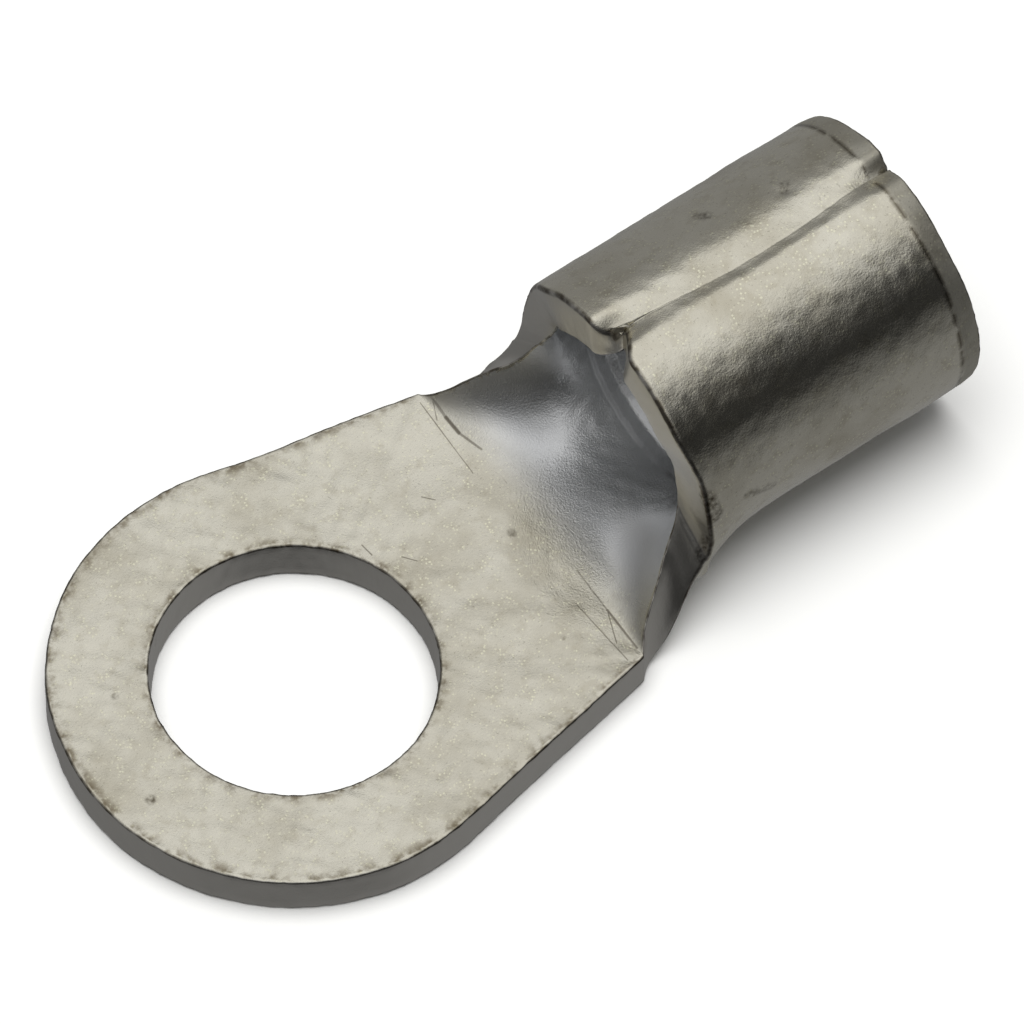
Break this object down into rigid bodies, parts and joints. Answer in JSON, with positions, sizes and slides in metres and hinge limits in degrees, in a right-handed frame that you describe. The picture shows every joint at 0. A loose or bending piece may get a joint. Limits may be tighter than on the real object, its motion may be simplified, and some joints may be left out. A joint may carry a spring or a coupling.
{
  "type": "ring terminal",
  "caption": "Uninsulated crimp ring terminal: a flat ring with a stud hole, a waisted neck and a rolled wire barrel, in tinned copper.",
  "frame": {"origin": "centre of the stud hole on the tongue's underside, which is also the plane the terminal lies on", "axes": "+X from the ring to the wire barrel, +Y across the tongue, +Z out of the tongue's top"},
  "size_m": [0.0179, 0.009, 0.0056],
  "materials": {
    "tinned_copper": "copper sheet with a dull electroplated tin coat, lightly handled"
  },
  "bodies": {
    "root": {"ring_terminal": "tinned_copper"}
  },
  "joints": []
}
